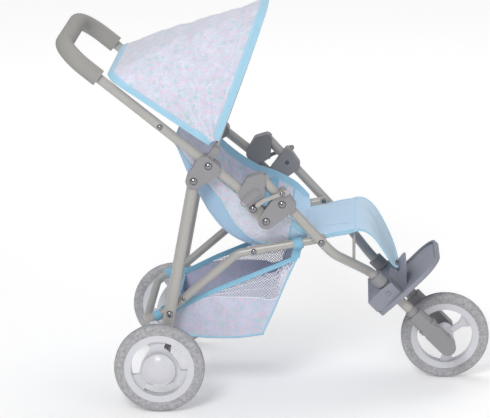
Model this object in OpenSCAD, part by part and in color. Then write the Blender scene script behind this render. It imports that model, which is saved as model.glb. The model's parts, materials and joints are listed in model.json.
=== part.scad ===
// Three-wheeled folding doll stroller with a canopy, a sling seat and a hanging basket.
// +X points forward, +Y to the stroller's left, +Z up. The origin is on the ground, midway
// between the rearmost point of the handle and the foremost point of the front wheel.

/* [Overall] */
// Distance from the rear axle to the front axle
wheelbase = 476; // [440:1:520]
// Half the distance between the centre lines of the two side tubes
side_y = 138; // [125:1:160]
// Length of the push handle from the fold joint to the middle of its cross bar
handle_len = 435; // [400:1:500]

/* [Wheels] */
// Outer diameter of every wheel
wheel_d = 150; // [130:1:165]
// Width of every tyre
tyre_w = 22; // [16:1:28]
// Outer diameter of every rim
rim_d = 116; // [100:1:124]
// Gap between a side tube's centre line and the middle of a rear wheel
rear_wheel_gap = 36; // [30:1:50]
// Diameter of both axles
axle_d = 8; // [6:0.5:10]

/* [Frame] */
// Outer diameter of the push and front tubes
tube_d = 16; // [13:0.5:18]
// Wall of every tube
tube_wall = 0.9; // [0.6:0.1:1.6]
// Outer diameter of a rear leg
leg_d = 20; // [16:0.5:22]
// Outer diameter of the basket stay
stay_d = 14; // [10:0.5:14]
// Outer diameter of the foam grip
grip_d = 29; // [24:0.5:34]
// Angle of the push handle above the horizontal
handle_angle = 39.3; // [36:0.1:44]
// Angle of the front tubes below the horizontal
front_angle = 48; // [46:1:50]
// Distance from the front axle to the start of the fork
fork_len = 179; // [165:1:195]
// Half the distance between the two fork legs
fork_y = 52; // [46:1:60]

/* [Fold joint] */
// Radius of every pivot pin and rivet shank
pin_r = 4; // [3:0.25:4.5]
// Distance from the fold pivot to the front tube's centre line
front_offset = 42; // [40:1:46]
// Distance from the fold pivot to the push tube's centre line
push_offset = 14; // [10:1:16]
// Thickness of the lock mouldings across the tube
lock_w = 23; // [21:0.5:26]

/* [Soft parts] */
// Thickness of the sling's cloth, with its lining
cloth = 3; // [2:0.5:5]
// Half width of the sling's floor
sling_half = 98; // [88:1:104]
// Height of the canopy's front bow above its pivot
canopy_reach = 232; // [200:1:250]
// Angle of the canopy's front bow above the horizontal
canopy_angle = 69.5; // [64:0.5:78]
// Half the width of the basket
basket_half = 108; // [95:1:112]

/* [Hidden] */
$fn = 48;

steel_grey = [0.76, 0.75, 0.73];
plastic_grey = [0.56, 0.56, 0.58];
foam_grey = [0.55, 0.54, 0.53];
tyre_grey = [0.58, 0.58, 0.60];
rim_white = [0.88, 0.88, 0.90];
chrome = [0.80, 0.80, 0.82];
print_cloth = [0.84, 0.84, 0.91];
blue_cloth = [0.66, 0.80, 0.90];
dark_blue = [0.42, 0.64, 0.76];

// Clearances
run_gap = 0.05;      // between a pin and the bore that turns on it, on the radius
part_gap = 0.5;      // between pieces that pass each other

// Places along the stroller are first counted from the rear axle
wheel_r = wheel_d / 2;
axle_r = axle_d / 2;
fold_x = 178;
fold_z = 318;

push_dir = [-cos(handle_angle), sin(handle_angle)];
push_up = [sin(handle_angle), cos(handle_angle)];
front_dir = [cos(front_angle), -sin(front_angle)];
front_up = [sin(front_angle), cos(front_angle)];
fold = [fold_x, fold_z];
push_foot = fold + push_offset * push_up;
front_foot = fold + front_offset * front_up;
handle_end = push_foot + handle_len * push_dir;
middle_x = (wheelbase + wheel_r + handle_end[0] - grip_d / 2) / 2;

// A point of the side view, as a place in the stroller's own frame
function at(p, y = 0) = [p[0] - middle_x, y, p[1]];
function on_push(s, up = 0) = push_foot + s * push_dir + up * push_up;
function on_front(s, up = 0) = front_foot + s * front_dir + up * front_up;
function mix(a, b, t) = a + (b - a) * t;

rear_axle_p = [0, wheel_r];
front_axle_p = [wheelbase, wheel_r];
rear_wheel_y = side_y + rear_wheel_gap;
stay_y = side_y - 18;

// Where the push tube and front tubes start and bend
push_start = 41;
grip_reach = 77;
handle_bend = 52;
front_top = -58;
bend_at = 115;
bend_p = on_front(bend_at);
bend_target = [350, 202];
fork_dir = unit2(bend_target - front_axle_p);
fork_start = front_axle_p + fork_len * fork_dir;
bracket_s = 131;     // leg bracket's rivet, along the push tube
leg_top = on_push(bracket_s + 3, -35);
leg_dir = unit2(leg_top - rear_axle_p);
link = rear_axle_p + 85.5 * leg_dir;       // where the basket stay joins the rear leg
stay_front = on_front(88);                 // where the basket stay joins the front tube
canopy_p = on_push(137, 26);

function unit2(v) = v / norm(v);
function side_name(side) = side < 0 ? "right" : "left";

// ---------------------------------------------------------------- helpers

// A rod between two points, round and straight
module rod(a, b, d) {
    v = b - a;
    translate(a)
        rotate([0, acos(v[2] / norm(v)), atan2(v[1], v[0])])
            cylinder(d = d, h = norm(v));
}

// A bend of radius r at corner b of the path a, b, c; bore is its hole, or 0
module elbow(a, b, c, r, d, bore = 0) {
    u = (b - a) / norm(b - a);
    w = (c - b) / norm(c - b);
    turn = acos(u * w);
    start = b - r * tan(turn / 2) * u;
    axis = cross(u, w) / norm(cross(u, w));
    out = cross(u, axis);
    centre = start - r * out;
    multmatrix([
        [out[0], u[0], axis[0], centre[0]],
        [out[1], u[1], axis[1], centre[1]],
        [out[2], u[2], axis[2], centre[2]],
        [0, 0, 0, 1]
    ])
        rotate_extrude(angle = turn)
            translate([r, 0])
                ring(d, bore);
}

module ring(d, bore) difference() {
    circle(d = d);
    if (bore > 0) circle(d = bore);
}

// A rod between two points with a hole of diameter bore right through it
module tube(a, b, d, bore) difference() {
    rod(a, b, d);
    if (bore > 0) rod(a - 0.1 * (b - a), b + 0.1 * (b - a), bore);
}

// How far a bend of radius r reaches along its legs
function bend_reach(a, b, c, r) = r * tan(acos((b - a) * (c - b) / norm(b - a) / norm(c - b)) / 2);

// A round bar along a path with every corner bent to radius r; hollow if bore is given.
// Each straight end runs half a millimetre into its bend, whose wall is a hair thicker.
module bar(path, r, d, bore = 0) {
    last = len(path) - 1;
    lap = 0.5;
    for (i = [0:last - 1]) {
        a = path[i];
        b = path[i + 1];
        u = (b - a) / norm(b - a);
        cut_a = i == 0 ? 0 : bend_reach(path[i - 1], a, b, r) - lap;
        cut_b = i == last - 1 ? 0 : bend_reach(a, b, path[i + 2], r) - lap;
        tube(a + cut_a * u, b - cut_b * u, d, bore);
    }
    for (i = [1:last - 1])
        elbow(path[i - 1], path[i], path[i + 1], r, d + 0.04, bore > 0 ? bore - 0.04 : 0);
}

// A cylinder across the stroller, centred on a side-view point
module across(p, y, d, w) {
    translate(at(p, y))
        rotate([90, 0, 0])
            cylinder(d = d, h = w, center = true);
}

// A flat outline in the side view, w thick and centred on y
module slab(y, w) {
    translate([-middle_x, y, 0])
        rotate([90, 0, 0])
            linear_extrude(height = w, center = true)
                children();
}

// A strip between two side-view points with round ends
module strip(a, b, d) hull() {
    translate(a)
        circle(d = d);
    translate(b)
        circle(d = d);
}

// A domed rivet head that faces outwards on one side
module rivet_head(p, y, side, d = 11, rise = 3.2) {
    ball = (d * d / 4 + rise * rise) / (2 * rise);
    translate(at(p, y))
        rotate([side * -90, 0, 0])
            rotate_extrude()
                intersection() {
                    translate([0, rise - ball])
                        circle(r = ball);
                    square([d, rise + 1]);
                }
}

// A closed skin of even thickness over a grid of points
module skin(grid, thick) {
    n = len(grid);
    m = len(grid[0]);
    function low(k, top) = max(0, min(top, k));
    function normal(i, j) =
        let (
            du = grid[low(i + 1, n - 1)][j] - grid[low(i - 1, n - 1)][j],
            dv = grid[i][low(j + 1, m - 1)] - grid[i][low(j - 1, m - 1)],
            c = cross(du, dv)
        ) c / norm(c);
    top = [for (i = [0:n - 1], j = [0:m - 1]) grid[i][j] + normal(i, j) * thick / 2];
    under = [for (i = [0:n - 1], j = [0:m - 1]) grid[i][j] - normal(i, j) * thick / 2];
    all = n * m;
    function id(i, j) = i * m + j;
    faces = concat(
        [for (i = [0:n - 2], j = [0:m - 2]) [id(i, j), id(i, j + 1), id(i + 1, j + 1)]],
        [for (i = [0:n - 2], j = [0:m - 2]) [id(i, j), id(i + 1, j + 1), id(i + 1, j)]],
        [for (i = [0:n - 2], j = [0:m - 2]) [all + id(i + 1, j + 1), all + id(i, j + 1), all + id(i, j)]],
        [for (i = [0:n - 2], j = [0:m - 2]) [all + id(i + 1, j), all + id(i + 1, j + 1), all + id(i, j)]],
        [for (j = [0:m - 2]) [id(0, j), all + id(0, j), all + id(0, j + 1)]],
        [for (j = [0:m - 2]) [id(0, j), all + id(0, j + 1), id(0, j + 1)]],
        [for (j = [0:m - 2]) [id(n - 1, j + 1), all + id(n - 1, j + 1), all + id(n - 1, j)]],
        [for (j = [0:m - 2]) [id(n - 1, j + 1), all + id(n - 1, j), id(n - 1, j)]],
        [for (i = [0:n - 2]) [id(i + 1, 0), all + id(i + 1, 0), all + id(i, 0)]],
        [for (i = [0:n - 2]) [id(i + 1, 0), all + id(i, 0), id(i, 0)]],
        [for (i = [0:n - 2]) [id(i, m - 1), all + id(i, m - 1), all + id(i + 1, m - 1)]],
        [for (i = [0:n - 2]) [id(i, m - 1), all + id(i + 1, m - 1), id(i + 1, m - 1)]]
    );
    polyhedron(points = concat(top, under), faces = faces);
}

// ---------------------------------------------------------------- push handle

handle_path = [
    at(on_push(push_start), -side_y),
    at(handle_end, -side_y),
    at(handle_end, side_y),
    at(on_push(push_start), side_y)
];

module push_handle() color(steel_grey) difference() {
    bar(handle_path, handle_bend, tube_d, tube_d - 2 * tube_wall);
    for (side = [-1, 1]) across(on_push(bracket_s), side * side_y, 2 * pin_r, tube_d + 2);
}

module handle_grip() color(foam_grey) {
    path = [
        at(on_push(handle_len - grip_reach), -side_y),
        at(handle_end, -side_y),
        at(handle_end, side_y),
        at(on_push(handle_len - grip_reach), side_y)
    ];
    difference() {
        bar(path, handle_bend, grip_d);
        bar(handle_path, handle_bend, tube_d);
    }
}

// ---------------------------------------------------------------- fold joint

// The front tube's end sits in a pocket that is a ring around the fold pivot
pocket_out = norm([front_top, front_offset + tube_d / 2]) + 0.8;
pocket_in = front_offset - tube_d / 2;
pocket_stop = 90 - front_angle + atan(-front_top / pocket_in) + 0.6;
cap_rivet = fold + [-21, 21];
plate_w = 5;
slot_r = 26;
boss = 1.2;

// Outline of the lock cap, in the side view
module cap_outline() {
    difference() {
        union() {
            hull() {
                translate(on_push(54, 0)) circle(r = 12);
                translate(fold + [-19, 37]) circle(r = 16);
                translate(fold + (pocket_out - 6) * [cos(97), sin(97)]) circle(r = 9);
                translate(fold + (pocket_out - 7) * [cos(110), sin(110)]) circle(r = 9);
            }
        }
        translate(fold) circle(r = slot_r + 10);
    }
}

module lock_cap(side) color(plastic_grey) {
    difference() {
        slab(side * side_y, lock_w) cap_outline();
        // pocket that lets the front tube's end swing out forwards
        intersection() {
            slab(side * side_y, tube_d + 2 * part_gap) difference() {
                translate(fold) circle(r = pocket_out);
                translate(fold) circle(r = pocket_in);
            }
            slab(side * side_y, lock_w)
                translate(fold)
                    polygon([[0, 0], 120 * [cos(pocket_stop), sin(pocket_stop)], [60, 160], [120, 0]]);
        }
        // socket for the push tube
        rod(at(on_push(push_start), side * side_y), at(on_push(120), side * side_y), tube_d);
        // slot for the hinge plate
        slab(side * side_y, plate_w) strip(cap_rivet, fold, 20.4);
        across(cap_rivet, side * side_y, 2 * pin_r, lock_w + 2);
    }
    // moulded boss on the outer face
    translate([0, side * (lock_w / 2 + boss / 2), 0])
        slab(side * side_y, boss) difference() {
            strip(fold + [-17, 47], fold + [-33, 33], 17);
            strip(fold + [-17, 47], fold + [-33, 33], 13);
        }
}

module hinge_plate(side) color(steel_grey) difference() {
    slab(side * side_y, plate_w) strip(cap_rivet, fold, 20);
    across(cap_rivet, side * side_y, 2 * pin_r, plate_w + 2);
    across(fold, side * side_y, 2 * (pin_r + run_gap), plate_w + 2);
}

bracket_rivet = on_front(-4, -3);

module lock_bracket(side) color(plastic_grey) difference() {
    slab(side * side_y, lock_w) hull() {
        translate(fold) circle(r = 13);
        translate(fold + [6, 6]) circle(r = 12);
        translate(on_front(-6, 5)) circle(r = 10);
        translate(on_front(8, 3)) circle(r = 10);
        translate(lever_p) circle(r = 6);
    }
    rod(at(on_front(-60), side * side_y), at(on_front(60), side * side_y), tube_d);
    slab(side * side_y, plate_w + 2 * part_gap) translate(fold) circle(r = slot_r);
    across(fold, side * side_y, 2 * pin_r, lock_w + 2);
    across(bracket_rivet, side * side_y, 2 * pin_r, lock_w + 2);
}

module fold_pins() color(chrome) for (side = [-1, 1]) {
    across(fold, side * side_y, 2 * pin_r, lock_w);
    rivet_head(fold, side * (side_y + lock_w / 2), side, 13, 3.6);
    rivet_head(fold, side * (side_y - lock_w / 2), -side);
}

lever_p = fold + [27, 48];
lever_tip = fold + [-14, 33];
lever_w = 3;
lever_in = lock_w / 2 + boss + part_gap;

module latch_lever(side) color(steel_grey) {
    y = side * (side_y + lever_in + lever_w / 2);
    difference() {
        union() {
            slab(y, lever_w) {
                strip(lever_p, mix(lever_p, lever_tip, 0.72), 6);
                strip(mix(lever_p, lever_tip, 0.7), lever_tip + [0, -4], 6.6);
                strip(lever_p, lever_p + [7, 2], 9);
            }
            across(lever_p, y, 11, lever_w);
        }
        across(lever_p, y, 5 + 2 * run_gap, lever_w + 2);
    }
}

// ---------------------------------------------------------------- leg bracket

cheek_w = 3;
leg_gap = leg_d + 2 * part_gap;
bracket_w = leg_gap + 2 * cheek_w;

module bracket_outline() hull() {
    translate(leg_top) circle(r = 13.5);
    translate(on_push(bracket_s + 8, -1)) circle(r = 12);
    translate(on_push(bracket_s - 10, -1)) circle(r = 12);
}

module leg_bracket(side) color(plastic_grey) difference() {
    slab(side * side_y, bracket_w) bracket_outline();
    rod(at(on_push(60), side * side_y), at(on_push(220), side * side_y), tube_d);
    // the leg swings back between two cheeks
    slab(side * side_y, leg_gap) translate(leg_top) {
        circle(d = leg_d + 3);
        rotate(atan2(-leg_dir[1], -leg_dir[0]) + 2)
            polygon([
                [-1, leg_d / 2 + 1], [45, leg_d / 2 + 1], [40, -40],
                50 * [cos(50), -sin(50)] + [-8, -8], 12 * [-sin(50), -cos(50)]
            ]);
    }
    across(leg_top, side * side_y, 2 * pin_r, bracket_w + 2);
    across(on_push(bracket_s), side * side_y, 2 * pin_r, bracket_w + 2);
}

module leg_pins() color(chrome) for (side = [-1, 1]) {
    across(leg_top, side * side_y, 2 * pin_r, bracket_w);
    rivet_head(leg_top, side * (side_y + bracket_w / 2), side, 13, 3.6);
    rivet_head(leg_top, side * (side_y - bracket_w / 2), -side);
}

snap_s = 232;

module handle_rivets() color(chrome) for (side = [-1, 1]) {
    across(on_push(bracket_s), side * side_y, 2 * pin_r, bracket_w);
    rivet_head(on_push(bracket_s), side * (side_y + bracket_w / 2), side, 13, 3.6);
    across(cap_rivet, side * side_y, 2 * pin_r, lock_w);
    rivet_head(cap_rivet, side * (side_y + lock_w / 2), side, 13, 3.6);
    difference() {
        rivet_head(on_push(snap_s), side * (side_y + tube_d / 2 - 0.6), side, 10, 3.4);
        rod(at(on_push(snap_s - 20), side * side_y), at(on_push(snap_s + 20), side * side_y), tube_d);
    }
}

// ---------------------------------------------------------------- canopy

bow_d = 5;
bow_y = side_y - 12;
bow_bend = 108;
middle_reach = 0.893 * canopy_reach;
middle_angle = canopy_angle + 9.5;

eye_d = 13;
eye_w = 5.6;

function bow_path(reach, angle, y) = [
    at(canopy_p + 4.5 * [cos(angle), sin(angle)], -y),
    at(canopy_p + reach * [cos(angle), sin(angle)], -y),
    at(canopy_p + reach * [cos(angle), sin(angle)], y),
    at(canopy_p + 4.5 * [cos(angle), sin(angle)], y)
];

// A wire bow with an eye at each end
module bow(reach, angle, y) difference() {
    union() {
        bar(bow_path(reach, angle, y), bow_bend, bow_d);
        for (side = [-1, 1]) across(canopy_p, side * y, eye_d, eye_w);
    }
    for (side = [-1, 1]) across(canopy_p, side * y, 2 * (2.5 + run_gap), bow_d + 2);
}

module canopy_bow_front() color(steel_grey) bow(canopy_reach - 9, canopy_angle, bow_y);
module canopy_bow_middle() color(steel_grey) bow(middle_reach - 6, middle_angle, bow_y - 6.5);

// A fitting on the push tube, with a stub that both bows turn on
module canopy_pivot(side) color(plastic_grey) {
    difference() {
        slab(side * side_y, 12) hull() {
            translate(on_push(137, tube_d / 2)) circle(r = 6);
            translate(canopy_p) circle(r = 6);
        }
        rod(at(on_push(97), side * side_y), at(on_push(177), side * side_y), tube_d);
        slab(side * side_y, bracket_w) bracket_outline();
    }
    across(canopy_p, side * (bow_y - 1.5), 5, 18);
}

// Half of the canopy's cross-section: straight sides, then a quarter bend over to the middle
function canopy_half(half, reach, bend) = concat(
    [[half, 0], [half, (reach - bend) * 0.5]],
    [for (a = [0:18:90]) [half - bend + bend * cos(a), reach - bend + bend * sin(a)]]
);

// A ring of the canopy that starts at base and rises to tip
function canopy_ring(base, tip, half) =
    let (
        reach = norm(tip - base),
        rise = (tip - base) / reach,
        right = canopy_half(half, reach, min(bow_bend + 3, reach * 0.92)),
        n = len(right)
    )
    [for (i = [0:2 * n - 1])
        i < n
            ? at(base + right[i][1] * rise, -right[i][0])
            : at(base + right[2 * n - 1 - i][1] * rise, right[2 * n - 1 - i][0])];

canopy_rear = on_push(handle_len - 90, tube_d / 2 + 1);
canopy_rear_top = canopy_rear + 5 * push_up;
front_tip = canopy_p + canopy_reach * [cos(canopy_angle), sin(canopy_angle)];
middle_tip = canopy_p + middle_reach * [cos(middle_angle), sin(middle_angle)];

canopy_grid = [
    canopy_ring(canopy_rear, canopy_rear_top, side_y),
    canopy_ring(mix(canopy_rear, canopy_p, 0.33) + 2 * push_up, mix(canopy_rear_top, middle_tip, 0.33), side_y - 1),
    canopy_ring(mix(canopy_rear, canopy_p, 0.66), mix(canopy_rear_top, middle_tip, 0.66), side_y - 4),
    canopy_ring(canopy_p + [-7, 2], middle_tip, bow_y + 4.4),
    canopy_ring(canopy_p + [5, 3], front_tip, bow_y + 4.4)
];

module canopy_cloth() color(print_cloth) skin(canopy_grid, 2);

// ---------------------------------------------------------------- sling seat

// Across the sling: share of the half width, and share of the depth below the tubes
sling_section = [
    [-1, 0], [-0.62, 0.5], [-0.2, 0.88], [0, 1], [0.35, 1], [1, 1]
];

// One ring of the sling, from the right tube down, across the floor and up to the left tube
function sling_ring(top, top_half, floor, floor_half) =
    let (
        drop = floor - top,
        right = [for (q = sling_section) [
            -(q[0] < 0 ? floor_half + (top_half - floor_half) * -q[0] : floor_half * (1 - q[0])),
            q[1]
        ]],
        left = [for (i = [len(right) - 2:-1:0]) [-right[i][0], right[i][1]]]
    )
    [for (q = concat(right, left)) at(top + drop * q[1], q[0])];

edge_half = side_y - tube_d / 2 - cloth / 2;       // against the tubes
inner_half = side_y - 27 / 2 - cloth / 2 - 0.6;    // inside the leg brackets
lock_half = side_y - lock_w / 2 - cloth / 2 - 0.6; // inside the lock mouldings
back_floor = [[28, 448], [46, 394], [63, 358], [84.5, 318]];
crease_floor = [[85.5, 316], [112, 286], [146, 267], [184, 262.5]];
base_floor = [[185.5, 262.5], [215, 266], [246, 275]];
knee = [321, 292];
knee_half = sling_half + 7;

module seat_back() color(blue_cloth) skin([
    sling_ring(on_push(214, -4), edge_half, back_floor[0], sling_half + 14),
    sling_ring(on_push(172, -4), inner_half, back_floor[1], sling_half + 4),
    sling_ring(on_push(128, -10), inner_half, back_floor[2], sling_half),
    sling_ring(on_push(82, -13), lock_half, back_floor[3], sling_half)
], cloth);

module seat_crease() color(blue_cloth) skin([
    sling_ring(on_push(80, -13), lock_half, crease_floor[0], sling_half),
    sling_ring(on_push(40, -9), lock_half, crease_floor[1], sling_half),
    sling_ring(fold + [2, 18], lock_half, crease_floor[2], sling_half),
    sling_ring(on_front(3, -22), lock_half, crease_floor[3], sling_half)
], cloth);

module seat_base() color(blue_cloth) {
    skin([
        sling_ring(on_front(5, -22), lock_half, base_floor[0], sling_half),
        sling_ring(on_front(32, -13), lock_half, base_floor[1], sling_half),
        sling_ring(on_front(62, -11), lock_half - 5, base_floor[2], sling_half)
    ], cloth);
    skin([
        for (k = [
            [base_floor[2] - [2, 0.7], sling_half - 3],
            [mix(base_floor[2], knee, 0.4) + [0, 2.5], sling_half + 1],
            [knee, knee_half]
        ])
            [for (s = [-1, -0.5, 0, 0.5, 1]) at(k[0], s * k[1])]
    ], cloth);
}

// The calf panel hangs from the knee hoop and narrows towards the footrest
calf_line = [
    [knee + [1.2, 0.2], knee_half], [[346, 287], sling_half + 5], [[363, 264], sling_half + 2],
    [[380, 235], sling_half - 8], [[391, 214], sling_half - 36], [[395.6, 203.5], 22]
];

module calf_panel() color(blue_cloth) skin([
    for (k = calf_line) [for (s = [-1, -0.5, 0, 0.5, 1]) at(k[0], s * k[1])]
], cloth);

belt_line = [
    [[168, 316], sling_half + 17], [[166, 296], sling_half + 8], [[165, 279], sling_half - 3],
    [[165, 271], sling_half - 18], [[165, 269], 0]
];

module lap_belt() color(dark_blue) skin([
    for (s = [0, 22])
        [for (q = concat(
            [for (k = belt_line) [-k[1], k[0]]],
            [for (i = [len(belt_line) - 2:-1:0]) [belt_line[i][1], belt_line[i][0]]]
        )) at(q[1] + [s, 0], q[0])]
], 1.6);

hoop_d = 5;
hoop_top = knee - [0, cloth / 2 + hoop_d / 2 + 0.1];
hoop_foot = mix(bend_p, fork_start, 0.545);
hoop_foot_y = side_y - (side_y - fork_y) * 0.545;

module knee_hoop() color(steel_grey) difference() {
    bar([
        at(hoop_foot, -hoop_foot_y),
        at(hoop_top, -hoop_foot_y),
        at(hoop_top, hoop_foot_y),
        at(hoop_foot, hoop_foot_y)
    ], 12, hoop_d);
    for (side = [-1, 1]) bar(front_path(side), bend_r, tube_d);
}

// ---------------------------------------------------------------- front frame

bend_r = 42;
function front_path(side) = [
    at(on_front(front_top), side * side_y),
    at(bend_p, side * side_y),
    at(fork_start, side * fork_y),
    at(front_axle_p + 40 * fork_dir, side * fork_y)
];

module front_tube(side) color(steel_grey) difference() {
    bar(front_path(side), bend_r, tube_d, tube_d - 2 * tube_wall);
    across(bracket_rivet, side * side_y, 2 * pin_r, tube_d + 2);
    across(stay_front, side * side_y, 2 * pin_r, tube_d + 2);
}

module front_rivets() color(chrome) for (side = [-1, 1]) {
    across(bracket_rivet, side * side_y, 2 * pin_r, lock_w);
    rivet_head(bracket_rivet, side * (side_y + lock_w / 2), side, 13, 3.6);
    // the stay's pivot pin passes through the front tube and on through the stay
    across(stay_front, side * (side_y - 9), 2 * pin_r, tube_d + 18);
    rivet_head(stay_front, side * (side_y + tube_d / 2), side, 11, 3.4);
    // posts that the latch levers turn on
    across(lever_p, side * (side_y + lever_in + lever_w / 2), 5, lever_w + 2 * part_gap);
    rivet_head(lever_p, side * (side_y + lever_in + lever_w + part_gap), side, 9, 2.4);
    across(lever_p, side * (side_y + (lever_in - part_gap + lock_w / 2) / 2), 9, lever_in - part_gap - lock_w / 2);
}

sleeve_d = 30;
sleeve_w = 24;
sleeve_top = 76;

// Moulded fork end: a sleeve over the tube and a round foot that holds the axle
module fork_end(side) color(plastic_grey) difference() {
    union() {
        intersection() {
            union() {
                rod(at(front_axle_p + 30 * fork_dir, side * fork_y),
                    at(front_axle_p + sleeve_top * fork_dir, side * fork_y), sleeve_d);
                rod(at(front_axle_p + 40 * fork_dir, side * fork_y),
                    at(front_axle_p + 47 * fork_dir, side * fork_y), sleeve_d + 4);
            }
            translate([0, side * fork_y, 0])
                cube([2000, sleeve_w, 2000], center = true);
        }
        rod(at(front_axle_p + (sleeve_top - 1) * fork_dir, side * fork_y),
            at(front_axle_p + (sleeve_top + 10) * fork_dir, side * fork_y), tube_d + 5);
        slab(side * fork_y, sleeve_w) strip(front_axle_p - 4 * fork_dir, front_axle_p + 32 * fork_dir, 28);
    }
    rod(at(front_axle_p + 40 * fork_dir, side * fork_y),
        at(front_axle_p + 120 * fork_dir, side * fork_y), tube_d);
    across(front_axle_p, side * (fork_y - fork_cap), axle_d, sleeve_w);
}

fork_cap = 4;        // wall of the fork's foot over the end of the axle

module front_axle() color(chrome)
    across(front_axle_p, 0, axle_d, 2 * (fork_y + sleeve_w / 2 - fork_cap));

hub_half = 24;

module front_spacers() color(plastic_grey) for (side = [-1, 1]) {
    inner = hub_half + part_gap;
    outer = fork_y - sleeve_w / 2;
    difference() {
        across(front_axle_p, side * (inner + outer) / 2, 18, outer - inner);
        across(front_axle_p, side * (inner + outer) / 2, axle_d, outer - inner + 2);
    }
}

// ---------------------------------------------------------------- footrest

// The footplate's own frame: x along the plate, z out of its top face, square to the fork
plate_at = front_axle_p + 114 * fork_dir;
plate_tilt = atan2(-fork_dir[0], fork_dir[1]);
plate_half = 78;
plate_t = 4;
block_half = fork_y + tube_d / 2 + 9;

module on_plate() translate(at(plate_at)) rotate([0, -plate_tilt, 0]) children();

module plate_outline(inset) hull() for (side = [-1, 1]) {
    translate([-30, side * (block_half - 10)]) circle(r = 9 - inset);
    translate([20, side * (plate_half - 12)]) circle(r = 12 - inset);
    translate([58, side * (plate_half - 40)]) circle(r = 40 - inset);
}

module footrest() color(plastic_grey) difference() {
    union() {
        on_plate() difference() {
            linear_extrude(height = plate_t + 4) plate_outline(0);
            translate([0, 0, plate_t]) linear_extrude(height = 10) plate_outline(4);
        }
        // raised tread pad, clear of the box above it
        on_plate() translate([0, 0, plate_t - 1]) linear_extrude(height = 2) intersection() {
            plate_outline(8);
            translate([52, -plate_half]) square([60, 2 * plate_half]);
        }
        // block that the two fork tubes pass through
        on_plate() rotate([90, 0, 0]) linear_extrude(height = 2 * block_half, center = true)
            polygon([[-38, 34], [-38.5, 12.5], [-25, 4.5], [-2, 0], [14, 0], [14, 33], [-8, 35.5]]);
        // box with a notch that takes the end of the calf panel
        slab(0, 68) translate(plate_at)
            polygon([
                [2, 11], [14.3, 12], [13.8, 55], [10.3, 56], [4.3, 49],
                [-0.2, 42], [-4.7, 47], [-14.2, 50], [-14.2, 29]
            ]);
    }
    for (side = [-1, 1]) bar(front_path(side), bend_r, tube_d);
    // the block is hollow underneath
    on_plate() translate([-33, -fork_y + tube_d / 2 + 4, -1]) cube([41, 2 * fork_y - tube_d - 8, 30]);
}

module footrest_screws() color(chrome) for (side = [-1, 1])
    on_plate() translate([-2, side * block_half, 22])
        rotate([side * -90, 0, 0]) cylinder(d = 7, h = 1.6);

// Short saddles that clamp the tubes just behind the footrest
module tube_saddles() color(plastic_grey) for (side = [-1, 1]) difference() {
    rod(at(front_axle_p + 151 * fork_dir, side * fork_y), at(front_axle_p + 170 * fork_dir, side * fork_y), tube_d + 9);
    bar(front_path(side), bend_r, tube_d);
}

// ---------------------------------------------------------------- wheels

// A tyre with round shoulders and shallow grooves across the tread
module tyre(p, y) {
    translate(at(p, y)) rotate([90, 0, 0]) difference() {
        rotate_extrude()
            difference() {
                hull() {
                    translate([wheel_r - 8, -tyre_w / 2 + 8]) circle(r = 8);
                    translate([wheel_r - 8, tyre_w / 2 - 8]) circle(r = 8);
                    translate([rim_d / 2, -tyre_w / 2 + 2]) square([4, tyre_w - 4]);
                }
                translate([0, -tyre_w]) square([rim_d / 2, 2 * tyre_w]);
            }
        for (a = [0:15:345], side = [-1, 1])
            rotate(a + side * 3.75)
                translate([wheel_r - 1, side * (tyre_w / 2 - 3), 0])
                    rotate([0, side * 38, 0])
                        cube([3, 4, 3], center = true);
    }
}

// A three-spoked rim; spread sets how much of the disc the spokes leave open
module rim(p, y, hub_r, hub_w, spoke_w, turn) {
    translate(at(p, y)) rotate([90, 0, 0]) difference() {
        union() {
            rotate_extrude()
                translate([rim_d / 2 - 11, -tyre_w / 2 + 2])
                    square([11, tyre_w - 4]);
            linear_extrude(height = 7, center = true)
                for (a = [turn:120:turn + 240]) rotate(a) {
                    translate([0, -spoke_w / 2]) square([rim_d / 2 - 9, spoke_w]);
                    polygon([
                        [rim_d / 2 - 26, -spoke_w / 2], [rim_d / 2 - 9, -spoke_w / 2 - 9],
                        [rim_d / 2 - 9, spoke_w / 2 + 9], [rim_d / 2 - 26, spoke_w / 2]
                    ]);
                }
            cylinder(r = hub_r, h = hub_w, center = true);
        }
        cylinder(r = axle_r + run_gap, h = hub_w + 2, center = true);
    }
}

spoke_turn = 35;
rear_hub_w = 30;

module front_tyre() color(tyre_grey) tyre(front_axle_p, 0);
module front_rim() color(rim_white) difference() {
    rim(front_axle_p, 0, 15, 2 * hub_half - 6, 10, spoke_turn);
    across(front_axle_p, 0, 2 * bush_r, 2 * hub_half);
}

bush_r = axle_r + 3;

// Flanged bushes pressed into both ends of the front hub
module front_bushes() color(plastic_grey) difference() {
    union() {
        across(front_axle_p, 0, 2 * bush_r, 2 * hub_half - 6);
        for (side = [-1, 1]) across(front_axle_p, side * (hub_half - 1.5), 22, 3);
    }
    across(front_axle_p, 0, 2 * (axle_r + run_gap), 2 * hub_half + 2);
}

module rear_tyre(side) color(tyre_grey) tyre(rear_axle_p, side * rear_wheel_y);

// The rear rims carry a broad three-sided web around a large hub
module rear_rim(side) color(rim_white) {
    y = side * rear_wheel_y;
    difference() {
        union() {
            rim(rear_axle_p, y, 19, rear_hub_w - 8, 20, spoke_turn + 60);
            slab(y, 7) translate(rear_axle_p) intersection() {
                circle(r = rim_d / 2 - 10);
                web_outline();
            }
        }
        across(rear_axle_p, y, axle_d + 2 * run_gap, rear_hub_w + 2);
    }
}

module web_outline() intersection_for(a = [spoke_turn:120:spoke_turn + 240])
    rotate(a) translate([-48, 0]) circle(r = 78, $fn = 96);

cap_depth = 9;
cap_r = 27;

// A domed cap covers the end of the rear axle and turns with the wheel
module rear_hub_cap(side) color(rim_white) {
    y0 = side * (rear_wheel_y + (rear_hub_w - 8) / 2);
    difference() {
        union() {
            across(rear_axle_p, y0 + side * 1, 2 * cap_r, 2);
            rivet_head(rear_axle_p, y0 + side * 2, side, 2 * cap_r - 4, cap_depth);
        }
        across(rear_axle_p, y0 + side * 2, 20, 9);
    }
}

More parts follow.
